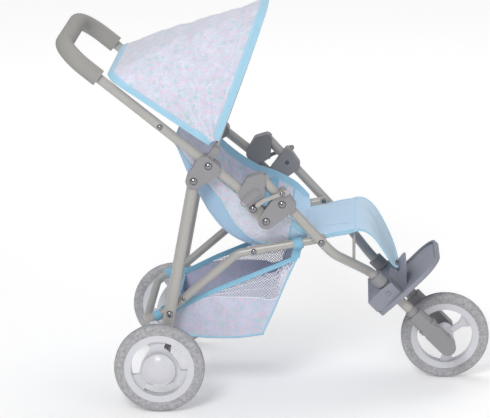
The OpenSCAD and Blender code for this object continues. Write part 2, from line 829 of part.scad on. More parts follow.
// ---------------------------------------------------------------- rear legs

module rear_leg(side) color(steel_grey) difference() {
    union() {
        rod(at(rear_axle_p + 12 * leg_dir, side * side_y), at(leg_top, side * side_y), leg_d);
        across(leg_top, side * side_y, leg_d, leg_d);
    }
    rod(at(rear_axle_p + 10 * leg_dir, side * side_y), at(leg_top - 14 * leg_dir, side * side_y), leg_d - 2 * tube_wall);
    across(leg_top, side * side_y, 2 * (pin_r + run_gap), leg_d + 2);
    across(link, side * side_y, 2 * pin_r, leg_d + 2);
}

module axle_block(side) color(plastic_grey) difference() {
    union() {
        across(rear_axle_p, side * side_y, 26, leg_d + 4);
        rod(at(rear_axle_p, side * side_y), at(rear_axle_p + 30 * leg_dir, side * side_y), leg_d + 5);
        rod(at(rear_axle_p + 29 * leg_dir, side * side_y), at(rear_axle_p + 60 * leg_dir, side * side_y), leg_d - 2 * tube_wall);
    }
    difference() {
        rod(at(rear_axle_p + 12 * leg_dir, side * side_y), at(rear_axle_p + 90 * leg_dir, side * side_y), leg_d);
        rod(at(rear_axle_p, side * side_y), at(rear_axle_p + 95 * leg_dir, side * side_y), leg_d - 2 * tube_wall);
    }
    across(rear_axle_p, side * side_y, axle_d, leg_d + 12);
}

axle_half = rear_wheel_y + (rear_hub_w - 8) / 2 + 3;

module rear_axle() color(chrome) across(rear_axle_p, 0, axle_d, 2 * axle_half);

// Washers between the wheels and the legs, and the caps that keep the wheels on
module rear_washers() color(chrome) for (side = [-1, 1]) {
    inner = side_y + (leg_d + 5) / 2 + 0.1;
    outer = rear_wheel_y - (rear_hub_w - 8) / 2 - part_gap;
    difference() {
        across(rear_axle_p, side * (inner + outer) / 2, 14, outer - inner);
        across(rear_axle_p, side * (inner + outer) / 2, axle_d, outer - inner + 2);
    }
    difference() {
        across(rear_axle_p, side * (axle_half - 1.2), 14, 1.6);
        across(rear_axle_p, side * (axle_half - 1.2), axle_d, 4);
    }
}

module leg_rivets() color(chrome) for (side = [-1, 1]) {
    across(link, side * side_y, 2 * pin_r, leg_d);
    difference() {
        rivet_head(link, side * (side_y + leg_d / 2 - 0.4), side, 12, 3.8);
        rod(at(link - 20 * leg_dir, side * side_y), at(link + 20 * leg_dir, side * side_y), leg_d);
    }
}

// ---------------------------------------------------------------- basket frame and basket

stay_bend_p = [130, 256];
stay_rear = [-25, 138];
stay_path = [
    at(stay_front, -stay_y),
    at(stay_bend_p, -stay_y),
    at(link, -stay_y),
    at(stay_rear, -stay_y),
    at(stay_rear, stay_y),
    at(link, stay_y),
    at(stay_bend_p, stay_y),
    at(stay_front, stay_y)
];

module basket_frame() color(steel_grey) difference() {
    union() {
        bar(stay_path, 26, stay_d, stay_d - 2 * tube_wall);
        for (side = [-1, 1]) across(stay_front, side * stay_y, stay_d, stay_d);
    }
    for (side = [-1, 1]) across(stay_front, side * stay_y, 2 * (pin_r + run_gap), stay_d + 2);
}

clamp_mid = mix(stay_front, stay_bend_p, 0.76);
clamp_dir = unit2(stay_front - stay_bend_p);

module stay_clamps() color(steel_grey) for (side = [-1, 1]) difference() {
    rod(at(clamp_mid - 13 * clamp_dir, side * stay_y), at(clamp_mid + 13 * clamp_dir, side * stay_y), stay_d + 3);
    bar(stay_path, 26, stay_d);
}

module stay_rivets() color(chrome) for (side = [-1, 1]) {
    difference() {
        rivet_head(clamp_mid - 7 * clamp_dir, side * (stay_y + stay_d / 2 + 1), side, 10, 3);
        rod(at(clamp_mid - 13 * clamp_dir, side * stay_y), at(clamp_mid + 13 * clamp_dir, side * stay_y), stay_d + 3);
    }
    difference() {
        rivet_head(mix(stay_bend_p, link, 0.8), side * (stay_y + stay_d / 2 - 0.5), side, 7, 1.6);
        rod(at(mix(stay_bend_p, link, 0.7), side * stay_y), at(mix(stay_bend_p, link, 0.9), side * stay_y), stay_d);
    }
}

basket_rim = [[13, 152], [229, 245]];
basket_low = [[18, 121], [46, 107], [105, 103], [150, 107], [169, 109]];

// An open-topped bag hung between the two stays
module basket() color(print_cloth) difference() {
    slab(0, 2 * basket_half) basket_outline(0);
    slab(0, 2 * basket_half - 2 * cloth) basket_outline(cloth);
}

module basket_outline(inset) {
    low = [for (p = basket_low) p];
    polygon(concat(
        [basket_rim[0] + [inset, inset > 0 ? 12 : 0]],
        [basket_low[0] + [inset, inset * 0.6]],
        [basket_low[1] + [inset * 0.4, inset]],
        [basket_low[2] + [0, inset]],
        [basket_low[3] + [-inset * 0.4, inset]],
        [basket_low[4] + [-inset, inset * 0.6]],
        [basket_rim[1] + [-inset * 1.1, inset > 0 ? 12 : 0]]
    ));
}

// Webbing loops that tie the four corners of the basket to the stay
module basket_loops() color(dark_blue) for (side = [-1, 1]) {
    front_a = mix(stay_front, stay_bend_p, 0.22);
    front_b = mix(stay_front, stay_bend_p, 0.34);
    rear_a = mix(link, stay_rear, 0.5);
    rear_b = mix(link, stay_rear, 0.72);
    difference() {
        union() {
            rod(at(front_a, side * stay_y), at(front_b, side * stay_y), stay_d + 3);
            rod(at(rear_a, side * stay_y), at(rear_b, side * stay_y), stay_d + 1.6);
            translate(at([front_b[0] - 1, basket_rim[1][1] - 8], side * (basket_half + 2.25) - 2.25))
                cube([front_a[0] - front_b[0] + 1, 4.5, front_b[1] - basket_rim[1][1] + 8]);
            translate(at([rear_b[0], rear_b[1] - 5], side * (basket_half + 2.25) - 2.25))
                cube([basket_rim[0][0] - rear_b[0] + 14, 4.5, 12]);
        }
        bar(stay_path, 26, stay_d);
    }
}

// ---------------------------------------------------------------- output

push_handle();
handle_grip();
lock_cap(-1);  // lock_cap_right
lock_cap(1);  // lock_cap_left
hinge_plate(-1);  // hinge_plate_right
hinge_plate(1);  // hinge_plate_left
leg_bracket(-1);  // leg_bracket_right
leg_bracket(1);  // leg_bracket_left
canopy_pivot(-1);  // canopy_pivot_right
canopy_pivot(1);  // canopy_pivot_left
handle_rivets();
leg_pins();
canopy_cloth();
canopy_bow_front();
canopy_bow_middle();
seat_back();
seat_crease();
seat_base();
calf_panel();
lap_belt();
knee_hoop();
front_tube(-1);  // front_tube_right
front_tube(1);  // front_tube_left
lock_bracket(-1);  // lock_bracket_right
lock_bracket(1);  // lock_bracket_left
fold_pins();
front_rivets();
latch_lever(-1);  // latch_lever_right
latch_lever(1);  // latch_lever_left
footrest();
footrest_screws();
tube_saddles();
fork_end(-1);  // fork_end_right
fork_end(1);  // fork_end_left
front_axle();
front_spacers();
front_tyre();
front_rim();
front_bushes();
rear_leg(-1);  // rear_leg_right
rear_leg(1);  // rear_leg_left
axle_block(-1);  // axle_block_right
axle_block(1);  // axle_block_left
rear_axle();
rear_washers();
leg_rivets();
rear_tyre(-1);  // rear_tyre_right
rear_tyre(1);  // rear_tyre_left
rear_rim(-1);  // rear_rim_right
rear_rim(1);  // rear_rim_left
rear_hub_cap(-1);  // rear_hub_cap_right
rear_hub_cap(1);  // rear_hub_cap_left
basket_frame();
stay_clamps();
stay_rivets();
basket();
basket_loops();
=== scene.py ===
"""Looks of the folding doll stroller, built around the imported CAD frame. Metres, +X forward, +Y left, +Z up."""

import json
import math

import bpy
import numpy as np
from mathutils import Matrix, Vector, noise


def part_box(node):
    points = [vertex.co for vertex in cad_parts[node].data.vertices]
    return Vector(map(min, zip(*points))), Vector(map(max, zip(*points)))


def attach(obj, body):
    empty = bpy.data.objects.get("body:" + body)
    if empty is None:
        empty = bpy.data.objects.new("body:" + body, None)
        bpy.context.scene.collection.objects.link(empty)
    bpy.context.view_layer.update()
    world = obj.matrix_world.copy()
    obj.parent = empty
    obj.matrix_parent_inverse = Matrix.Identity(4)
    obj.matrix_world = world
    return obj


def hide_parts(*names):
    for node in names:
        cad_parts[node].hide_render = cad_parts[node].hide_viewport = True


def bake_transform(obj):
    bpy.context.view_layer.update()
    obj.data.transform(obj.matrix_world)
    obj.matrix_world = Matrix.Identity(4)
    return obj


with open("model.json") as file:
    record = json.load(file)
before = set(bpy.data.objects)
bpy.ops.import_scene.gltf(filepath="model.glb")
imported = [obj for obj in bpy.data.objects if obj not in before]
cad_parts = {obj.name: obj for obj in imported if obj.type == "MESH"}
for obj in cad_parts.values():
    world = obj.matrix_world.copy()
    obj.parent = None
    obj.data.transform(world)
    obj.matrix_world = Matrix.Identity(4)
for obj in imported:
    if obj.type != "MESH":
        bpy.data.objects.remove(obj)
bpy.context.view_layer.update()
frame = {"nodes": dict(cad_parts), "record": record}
node = frame["nodes"]

MM = 0.001
_lo, _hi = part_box("rear_axle")
REAR_X = (_lo.x + _hi.x) / 2 / MM      # the rear axle's place along the stroller, mm

# ------------------------------------------------------------------ side-view geometry, mm from the rear axle

HANDLE_ANGLE, FRONT_ANGLE = math.radians(39.3), math.radians(48)
STAY_Y = 120.0           # the basket stay, from the middle
FOLD = np.array([178.0, 318.0])
PUSH = np.array([-math.cos(HANDLE_ANGLE), math.sin(HANDLE_ANGLE)])
PUSH_UP = np.array([math.sin(HANDLE_ANGLE), math.cos(HANDLE_ANGLE)])
FRONT = np.array([math.cos(FRONT_ANGLE), -math.sin(FRONT_ANGLE)])
FRONT_UP = np.array([math.sin(FRONT_ANGLE), math.cos(FRONT_ANGLE)])


def on_push(s, up=0.0):
    return FOLD + 14 * PUSH_UP + s * PUSH + up * PUSH_UP


def on_front(s, up=0.0):
    return FOLD + 42 * FRONT_UP + s * FRONT + up * FRONT_UP


def unit(v):
    v = np.asarray(v, float)
    return v / np.linalg.norm(v)


def at(p, y=0.0):
    """A side-view point in mm from the rear axle, as a point of the row frame in metres."""
    return np.array([(p[0] + REAR_X) * MM, y * MM, p[1] * MM])


CANOPY_P = on_push(137, 26)
LEG_TOP = on_push(134, -35)
LEG_DIR = unit(LEG_TOP - np.array([0, 75.0]))
LINK = np.array([0, 75.0]) + 85.5 * LEG_DIR
STAY_FRONT = on_front(88)
STAY_BEND = np.array([130.0, 256.0])
STAY_REAR = np.array([-25.0, 138.0])


def lerp(keys, values, x):
    return np.interp(x, keys, values)


def spline(stations, v):
    """Catmull-Rom through the rows of stations, at v counted in stations."""
    s = np.asarray(stations, float)
    n = len(s) - 1
    i = int(min(max(math.floor(v), 0), n - 1))
    t = v - i
    p0, p1, p2, p3 = s[max(i - 1, 0)], s[i], s[i + 1], s[min(i + 2, n)]
    return 0.5 * ((2 * p1) + (p2 - p0) * t + (2 * p0 - 5 * p1 + 4 * p2 - p3) * t * t
                  + (3 * p1 - p0 - 3 * p2 + p3) * t ** 3)


# ------------------------------------------------------------------ materials

class Nodes:
    """A material's node tree, with short calls for the nodes used here."""

    def __init__(self, name, colour, rough, metal=0.0, **more):
        self.m = bpy.data.materials.new(name)
        self.m.use_nodes = True
        self.t = self.m.node_tree
        self.b = self.t.nodes["Principled BSDF"]
        self.b.inputs["Base Color"].default_value = (*colour, 1)
        self.b.inputs["Roughness"].default_value = rough
        self.b.inputs["Metallic"].default_value = metal
        for k, v in more.items():
            self.b.inputs[k.replace("_", " ")].default_value = v
        self.place = None

    def add(self, kind, **settings):
        n = self.t.nodes.new(kind)
        for k, v in settings.items():
            setattr(n, k, v)
        return n

    def link(self, a, b):
        self.t.links.new(a, b)

    def where(self, kind="Object"):
        return self.add("ShaderNodeTexCoord").outputs[kind]

    def noise(self, place, scale, detail=3.0, rough=0.5):
        n = self.add("ShaderNodeTexNoise")
        n.inputs["Scale"].default_value = scale
        n.inputs["Detail"].default_value = detail
        n.inputs["Roughness"].default_value = rough
        self.link(place, n.inputs["Vector"])
        return n.outputs["Fac"]

    def math(self, op, a, b=0.0, c=0.0):
        n = self.add("ShaderNodeMath", operation=op)
        for i, v in enumerate((a, b, c)):
            if isinstance(v, (int, float)):
                n.inputs[i].default_value = v
            else:
                self.link(v, n.inputs[i])
        return n.outputs[0]

    def span(self, value, lo, hi, to_lo, to_hi):
        n = self.add("ShaderNodeMapRange")
        self.link(value, n.inputs["Value"])
        for k, v in zip(("From Min", "From Max", "To Min", "To Max"), (lo, hi, to_lo, to_hi)):
            n.inputs[k].default_value = v
        return n.outputs[0]

    def mix(self, share, a, b):
        n = self.add("ShaderNodeMix", data_type="RGBA")
        for i, v in ((0, share), (6, a), (7, b)):
            if isinstance(v, (int, float)):
                n.inputs[i].default_value = v
            elif isinstance(v, tuple):
                n.inputs[i].default_value = (*v, 1)
            else:
                self.link(v, n.inputs[i])
        return n.outputs[2]

    def bump(self, height, strength, distance):
        n = self.add("ShaderNodeBump")
        n.inputs["Strength"].default_value = strength
        n.inputs["Distance"].default_value = distance
        self.link(height, n.inputs["Height"])
        self.link(n.outputs[0], self.b.inputs["Normal"])

    def colour(self, out):
        self.link(out, self.b.inputs["Base Color"])

    def roughness(self, out):
        self.link(out, self.b.inputs["Roughness"])


def shade(c, k):
    return tuple(min(1.0, x * k) for x in c)


def hard(name, colour, rough, metal=0.0, grain=900.0, bump=0.15, depth=0.0002, vary=0.06, **more):
    """Paint, plastic, foam or metal: fine grain in the bump, slow changes in tint and roughness."""
    n = Nodes(name, colour, rough, metal, **more)
    p = n.where()
    slow, fine = n.noise(p, 26.0, 4.0), n.noise(p, grain, 3.0, 0.6)
    n.colour(n.mix(slow, shade(colour, 1 - vary), shade(colour, 1 + vary)))
    n.roughness(n.span(slow, 0.3, 0.7, max(0.02, rough - 0.07), min(1.0, rough + 0.07)))
    n.bump(fine, bump, depth)
    return n.m


def weave(n, place, threads):
    """Height of a plain weave on a cloth's own coordinates, which are in metres."""
    parts = n.add("ShaderNodeSeparateXYZ")
    n.link(place, parts.inputs[0])
    wx = n.math("SINE", n.math("MULTIPLY", parts.outputs[0], 2 * math.pi * threads))
    wy = n.math("SINE", n.math("MULTIPLY", parts.outputs[1], 2 * math.pi * threads))
    return n.math("MULTIPLY", wx, wy)


def cloth(name, colour, rough=0.85, threads=900.0, vary=0.05, strength=0.25):
    n = Nodes(name, colour, rough, Sheen_Weight=0.25, Sheen_Roughness=0.5)
    p = n.where("UV")
    w = weave(n, p, threads)
    slow = n.noise(p, 30.0, 5.0, 0.6)
    base = n.mix(slow, shade(colour, 1 - vary), shade(colour, 1 + vary))
    n.colour(n.mix(n.span(w, -1, 1, 0.0, 0.12), base, shade(colour, 0.8)))
    n.roughness(n.span(slow, 0.3, 0.7, rough - 0.08, min(1.0, rough + 0.08)))
    n.bump(n.math("ADD", w, n.math("MULTIPLY", slow, 11.0)), strength, 0.0004)
    return n.m


def floral(name, base, strength=1.0):
    """White and lavender cloth with small scattered flowers, leaves and dots."""
    n = Nodes(name, base, 0.8, Sheen_Weight=0.3, Sheen_Roughness=0.45)
    p = n.where("UV")
    soft = n.noise(p, 38.0, 4.0, 0.6)
    out = n.mix(n.span(soft, 0.38, 0.64, 0.0, 1.0), base, shade(base, 0.86))
    wobble = n.noise(p, 520.0, 2.0)
    for scale, shift, pick, radius, tint, share in (
            (230.0, 0.31, 0.45, 0.34, (0.47, 0.50, 0.70), 0.50),
            (170.0, 0.87, 0.60, 0.32, (0.50, 0.66, 0.76), 0.50),
            (85.0, 1.73, 0.62, 0.31, (0.34, 0.60, 0.58), 0.55),
            (80.0, 2.41, 0.60, 0.27, (0.76, 0.50, 0.62), 0.50),
            (140.0, 3.19, 0.66, 0.34, (0.70, 0.52, 0.70), 0.45)):
        move = n.add("ShaderNodeMapping")
        move.inputs["Location"].default_value = (shift, shift * 0.7, 0)
        n.link(p, move.inputs["Vector"])
        v = n.add("ShaderNodeTexVoronoi", voronoi_dimensions="2D")
        v.inputs["Scale"].default_value = scale
        n.link(move.outputs[0], v.inputs["Vector"])
        parts = n.add("ShaderNodeSeparateColor")
        n.link(v.outputs["Color"], parts.inputs[0])
        chosen = n.math("GREATER_THAN", parts.outputs[0], pick)
        edge = n.math("SUBTRACT", v.outputs["Distance"], n.math("MULTIPLY", wobble, 0.34))
        spot = n.span(edge, radius - 0.26, radius - 0.10, 1.0, 0.0)
        mask = n.math("MULTIPLY", n.math("MULTIPLY", chosen, spot), share * strength)
        out = n.mix(mask, out, tint)
    w = weave(n, p, 900.0)
    n.colour(n.mix(n.span(w, -1, 1, 0.0, 0.08), out, (0.70, 0.70, 0.80)))
    n.bump(n.math("ADD", w, n.math("MULTIPLY", soft, 9.0)), 0.25, 0.0004)
    return n.m


def ribbed(name, colour, pitch=650.0):
    """Binding tape and webbing: fine ribs across, a soft sheen."""
    n = Nodes(name, colour, 0.75, Sheen_Weight=0.35, Sheen_Roughness=0.4)
    p = n.where("UV")
    parts = n.add("ShaderNodeSeparateXYZ")
    n.link(p, parts.inputs[0])
    rib = n.math("SINE", n.math("MULTIPLY", parts.outputs[0], 2 * math.pi * pitch))
    slow = n.noise(p, 45.0, 4.0, 0.6)
    base = n.mix(slow, shade(colour, 0.92), shade(colour, 1.07))
    n.colour(n.mix(n.span(rib, -1, 1, 0.0, 0.14), base, shade(colour, 0.72)))
    n.bump(n.math("ADD", rib, n.math("MULTIPLY", slow, 2.0)), 0.35, 0.0003)
    return n.m


def tyre_material(name, colour):
    n = Nodes(name, colour, 0.78)
    p = n.where()
    mottle = n.noise(p, 210.0, 4.0, 0.65)
    slow = n.noise(p, 40.0, 3.0)
    tint = n.mix(n.span(mottle, 0.40, 0.62, 0.0, 1.0), shade(colour, 0.80), shade(colour, 1.22))
    n.colour(n.mix(n.span(slow, 0.3, 0.7, 0.0, 0.35), tint, shade(colour, 1.1)))
    n.bump(mottle, 0.5, 0.0006)
    return n.m


STEEL = (0.40, 0.388, 0.368)
PLASTIC = (0.26, 0.256, 0.268)
steel = hard("painted_tube", STEEL, 0.42, 0.15, grain=1500.0, bump=0.08, Coat_Weight=0.25, Coat_Roughness=0.25)
plastic = hard("grey_moulding", PLASTIC, 0.48, grain=1200.0, bump=0.20)
plate_plastic = hard("footplate_moulding", (0.25, 0.26, 0.305), 0.5, grain=1200.0, bump=0.25)
foam = hard("grip_foam", (0.31, 0.30, 0.285), 0.82, grain=1900.0, bump=0.55, depth=0.0005, vary=0.05)
chrome = hard("plated_rivet", (0.27, 0.27, 0.285), 0.13, 1.0, grain=700.0, bump=0.03, vary=0.04)
tyre = tyre_material("foam_tyre", (0.36, 0.36, 0.375))
rim = hard("moulded_rim", (0.60, 0.60, 0.64), 0.32, grain=800.0, bump=0.05, vary=0.02, Coat_Weight=0.2)
printed = floral("printed_cloth", (0.665, 0.68, 0.78))
printed_soft = floral("printed_cloth_basket", (0.57, 0.585, 0.72), 0.9)
blue = cloth("blue_cloth", (0.47, 0.64, 0.80))
# a darker copy of the blue cloth: painted shade, used on the seat's underside panel and on the tuck cords in the seat
# front's fold
shaded_blue = cloth("blue_cloth_painted_shade", (0.36, 0.53, 0.72))
binding = ribbed("blue_binding", (0.34, 0.58, 0.73))
deep_binding = ribbed("deep_blue_binding", (0.23, 0.48, 0.64))
thread = cloth("stitching_thread", (0.55, 0.78, 0.90), threads=1500.0)
net = cloth("net_cord", (0.74, 0.74, 0.83), threads=1800.0)

looks = {
    "tube": steel, "moulding": plastic, "footplate": plate_plastic, "foam": foam, "rivet": chrome, "tyre": tyre,
    "rim": rim, "print_cloth": printed, "blue_cloth": blue, "webbing": deep_binding,
}
for sub in frame["record"]["subparts"]:
    o = node[sub["node"]]
    o.data.materials.clear()
    o.data.materials.append(looks[sub["material_slot"]])

# ------------------------------------------------------------------ mesh helpers


def new_mesh(name, verts, faces, mats, index=None, uv=None, smooth=True):
    me = bpy.data.meshes.new(name)
    me.from_pydata([tuple(map(float, v)) for v in verts], [], [tuple(map(int, f)) for f in faces])
    for m in mats:
        me.materials.append(m)
    if index is not None:
        me.polygons.foreach_set("material_index", np.asarray(index, np.int32))
    if uv is not None:
        layer = me.uv_layers.new(name="UVMap")
        loops = np.zeros(len(me.loops), np.int32)
        me.loops.foreach_get("vertex_index", loops)
        layer.data.foreach_set("uv", np.asarray(uv, np.float32)[loops].ravel())
    if smooth:
        me.polygons.foreach_set("use_smooth", np.ones(len(me.polygons), bool))
    me.update()
    me.set_sharp_from_angle(angle=math.radians(50))
    o = bpy.data.objects.new(name, me)
    bpy.context.scene.collection.objects.link(o)
    return o


def grid_normals(g):
    du = np.gradient(g, axis=0)
    dv = np.gradient(g, axis=1)
    n = np.cross(du, dv)
    size = np.linalg.norm(n, axis=2, keepdims=True)
    return n / np.maximum(size, 1e-12)


class Parts:
    """Collects closed shells and rods, to be joined as one piece."""

    def __init__(self):
        self.v, self.f, self.m, self.uv, self.n = [], [], [], [], 0

    def put(self, verts, faces, mats, uv):
        self.v.append(np.asarray(verts, float))
        self.uv.append(np.asarray(uv, float))
        self.f += [tuple(i + self.n for i in f) for f in faces]
        self.m += list(mats)
        self.n += len(verts)

    def shell(self, g, thick, outer, inner=None, rim_mat=None, place=None):
        """A closed skin over grid g, which is rows x columns x 3, in metres. outer and inner give the material
        number of cell (i, j) on the side the normals point to and on the other; place gives cloth coordinates."""
        g = np.asarray(g, float)
        n, m = g.shape[:2]
        nrm = grid_normals(g)
        top, low = g + nrm * thick / 2, g - nrm * thick / 2
        s = np.concatenate([[0], np.cumsum(np.linalg.norm(np.diff(g, axis=0), axis=2).mean(1))])
        t = np.zeros((n, m))
        t[:, 1:] = np.cumsum(np.linalg.norm(np.diff(g, axis=1), axis=2), axis=1)
        t -= t[:, m // 2][:, None]
        uv = np.stack([np.repeat(s[:, None], m, 1), t], 2).reshape(-1, 2)
        if place is not None:
            uv = np.asarray(place, float).reshape(-1, 2)
        pick = lambda k, i, j: k(i, j) if callable(k) else (k or 0)
        inner = outer if inner is None else inner
        rim_mat = outer if rim_mat is None else rim_mat
        a = lambda i, j: i * m + j
        k = n * m
        faces, mats = [], []
        for i in range(n - 1):
            for j in range(m - 1):
                faces.append((a(i, j), a(i + 1, j), a(i + 1, j + 1), a(i, j + 1)))
                mats.append(pick(outer, i, j))
                faces.append((k + a(i, j), k + a(i, j + 1), k + a(i + 1, j + 1), k + a(i + 1, j)))
                mats.append(pick(inner, i, j))
        for j in range(m - 1):
            faces.append((a(0, j), a(0, j + 1), k + a(0, j + 1), k + a(0, j)))
            mats.append(pick(rim_mat, 0, j))
            faces.append((a(n - 1, j + 1), a(n - 1, j), k + a(n - 1, j), k + a(n - 1, j + 1)))
            mats.append(pick(rim_mat, n - 2, j))
        for i in range(n - 1):
            faces.append((a(i + 1, 0), a(i, 0), k + a(i, 0), k + a(i + 1, 0)))
            mats.append(pick(rim_mat, i, 0))
            faces.append((a(i, m - 1), a(i + 1, m - 1), k + a(i + 1, m - 1), k + a(i, m - 1)))
            mats.append(pick(rim_mat, i, m - 2))
        self.put(np.concatenate([top.reshape(-1, 3), low.reshape(-1, 3)]), faces, mats, np.concatenate([uv, uv]))

    def rod(self, path, r, mat=0, sides=8):
        """A round cord along a path, closed at both ends."""
        p = np.asarray(path, float)
        d = np.gradient(p, axis=0)
        d /= np.maximum(np.linalg.norm(d, axis=1, keepdims=True), 1e-12)
        up = np.array([0, 0, 1.0]) if abs(d[0][2]) < 0.9 else np.array([0, 1.0, 0])
        v, uv, run = [], [], 0.0
        for i in range(len(p)):
            x = unit(np.cross(up, d[i]))
            y = np.cross(d[i], x)
            up = y
            run += np.linalg.norm(p[i] - p[i - 1]) if i else 0.0
            for q in range(sides):
                a = 2 * math.pi * q / sides
                v.append(p[i] + r * (math.cos(a) * x + math.sin(a) * y))
                uv.append((run, r * a))
        f = [(i * sides + q, i * sides + (q + 1) % sides, (i + 1) * sides + (q + 1) % sides, (i + 1) * sides + q)
             for i in range(len(p) - 1) for q in range(sides)]
        f.append(tuple(range(sides))[::-1])
        f.append(tuple((len(p) - 1) * sides + q for q in range(sides)))
        self.put(v, f, [mat] * len(f), uv)

    def stitches(self, path, side, lift, mat=0, pitch=4.2, length=2.6, width=0.5):
        """A row of short raised stitches along a path; side is the surface's normal at each point."""
        p, s = np.asarray(path, float), np.asarray(side, float)
        run = np.concatenate([[0], np.cumsum(np.linalg.norm(np.diff(p, axis=0), axis=1))])
        for k in range(int(run[-1] / (pitch * MM))):
            ends = []
            for t in (k * pitch * MM, (k * pitch + length) * MM):
                ends.append(([np.interp(t, run, p[:, c]) for c in range(3)],
                             [np.interp(t, run, s[:, c]) for c in range(3)]))
            a, b = np.array(ends[0][0]), np.array(ends[1][0])
            if np.linalg.norm(b - a) < 1e-5:
                continue
            nrm = unit(ends[0][1])
            w = unit(np.cross(b - a, nrm)) * width * MM
            up = nrm * lift * MM
            low = nrm * -0.4 * MM
            v = [a - w + low, a + w + low, b + w + low, b - w + low,
                 a - 0.5 * w + up, a + 0.5 * w + up, b + 0.5 * w + up, b - 0.5 * w + up]
            f = [(0, 3, 2, 1), (4, 5, 6, 7), (0, 1, 5, 4), (1, 2, 6, 5), (2, 3, 7, 6), (3, 0, 4, 7)]
            self.put(v, f, [mat] * 6, [(0, 0)] * 8)

    def piece(self, name, mats, smooth=True):
        return new_mesh(name, np.concatenate(self.v), self.f, mats, self.m, np.concatenate(self.uv), smooth)


# ------------------------------------------------------------------ canopy

PHI = [-5, 5, 20, 35, 50, 61.7, 67.7, 71.3]
RIDGE = [213, 197, 185, 181, 190, 206, 225, 233]
HALF = [139.5, 138.5, 137, 135.5, 133.5, 131.3, 131.3, 131.3]
BEND = [26, 48, 72, 88, 98, 104, 107, 108]
LOW_PHI, SEAM_PHI, FRONT_PHI = -4.6, 61.7, 71.2
ANGLE0 = math.degrees(math.atan2(PUSH[1], PUSH[0]))


def canopy_section(phi, m, lift=0.0):
    """Points (r, y) in the plane through both pivots that stands at phi above the push tubes."""
    ridge, half, bend = lerp(PHI, RIDGE, phi) + lift, lerp(PHI, HALF, phi) + lift, lerp(PHI, BEND, phi)
    pts = [(14.0, -half)]
    for r in np.linspace(14, ridge - bend, 16)[1:]:
        pts.append((r, -half))
    for a in np.linspace(0, 90, 20)[1:]:
        pts.append((ridge - bend + bend * math.sin(math.radians(a)), -half + bend * (1 - math.cos(math.radians(a)))))
    for y in np.linspace(-half + bend, 0, 10)[1:]:
        pts.append((ridge, y))
    pts = np.array(pts)
    pts = np.concatenate([pts, pts[:-1][::-1] * [1, -1]])
    run = np.concatenate([[0], np.cumsum(np.linalg.norm(np.diff(pts, axis=0), axis=1))])
    t = np.linspace(0, run[-1], m)
    return np.stack([np.interp(t, run, pts[:, 0]), np.interp(t, run, pts[:, 1])], 1)


def canopy_point(phi, r, y):
    a = math.radians(ANGLE0 - phi)
    return at(CANOPY_P + r * np.array([math.cos(a), math.sin(a)]), y)


def sag(phi, r, y):
    """How far the cloth hangs in from its taut shape, mm, with soft creases that run from the rear corners."""
    t = np.clip((phi - LOW_PHI) / (SEAM_PHI - LOW_PHI), 0, 1)
    span = math.sin(math.pi * t)
    side = min(1.0, max(0.0, (abs(y) - 60) / 70))
    crease = math.sin(phi * 0.62 + r * 0.035) * 1.3 + math.sin(phi * 1.1 - r * 0.05 + 1.3) * 0.7
    rough = noise.noise(Vector((phi * 0.05, r * 0.012, y * 0.012))) * 2.2
    return span * (3.5 * side + 1.0) + (crease * (0.4 + 0.6 * side) + rough) * span ** 0.6 * min(1.0, r / 80)


def canopy_grid(phis, m, lift=0.0, edge=None, widths=None):
    """A patch of the canopy: rows at phis, or from edge by widths in mm."""
    rows = []
    for k in range(len(phis) if edge is None else len(widths)):
        row = []
        base = canopy_section(phis[k] if edge is None else edge, m, lift)
        for q in range(m):
            r, y = base[q]
            phi = phis[k] if edge is None else edge + math.degrees(widths[k] / max(r, 30.0))
            if edge is not None:
                r, y = canopy_section(phi, m, lift)[q] if abs(widths[k]) > 0.01 else (r, y)
            inward = sag(phi, r, y)
            flat = min(1.0, max(0.0, (abs(y) - 40) / 85))
            y2 = y - math.copysign(inward * flat, y)
            row.append(canopy_point(phi, r - inward * (1 - flat), y2))
        rows.append(row)
    return np.array(rows)


def canopy_place(phis, m):
    """Cloth coordinates in metres that keep the print's shape: a fan on the sides, straight over the top."""
    out, round_off, mid_phi = [], 190.0, (LOW_PHI + FRONT_PHI) / 2
    for phi in phis:
        sec = canopy_section(phi, m)
        run = np.concatenate([[0], np.cumsum(np.linalg.norm(np.diff(sec, axis=0), axis=1))])
        turn = math.radians(phi - mid_phi)
        along = lambda a: min(a, round_off) * math.cos(turn) + max(0.0, a - round_off)
        row = []
        for q in range(m):
            a = 14 + min(run[q], run[-1] - run[q])
            v = along(a)
            if run[q] > run[-1] / 2:
                v = 2 * along(14 + run[-1] / 2) - v
            row.append((min(a, round_off) * math.sin(turn) * MM, v * MM))
        out.append(row)
    return np.array(out)


M = 121
GORES = 4
edges = np.linspace(LOW_PHI, SEAM_PHI, GORES + 1)


for k in range(GORES):
    a, b = edges[k], edges[k + 1]
    p = Parts()
    p.shell(canopy_grid(np.linspace(a, b, 11), M), 1.0 * MM, 0, 0, place=canopy_place(np.linspace(a, b, 11), M))
    gore = p.piece(f"canopy_gore_{k + 1}", [printed])
    ang = math.radians(ANGLE0 - (a + b) / 2 - 90)
    g = np.array([math.cos(ang), 0, math.sin(ang)])
    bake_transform(gore)
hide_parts("canopy_cloth")

p = Parts()
p.shell(canopy_grid(np.linspace(SEAM_PHI, FRONT_PHI, 8), M, 0.4), 1.0 * MM, 0, 0,
        place=canopy_place(np.linspace(SEAM_PHI, FRONT_PHI, 8), M))
front_gore = p.piece("canopy_front_gore", [printed])
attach(front_gore, "canopy_front")


def tape(name, g, thick, body, mats, stitch_rows=()):
    p = Parts()
    p.shell(g, thick * MM, 0, 0)
    nrm = grid_normals(g)
    for row in stitch_rows:
        p.stitches(g[row], nrm[row], thick / 2 + 0.35, 1)
        p.stitches(g[row], -nrm[row], thick / 2 + 0.35, 1)
    o = p.piece(name, mats)
    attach(o, body)
    return o


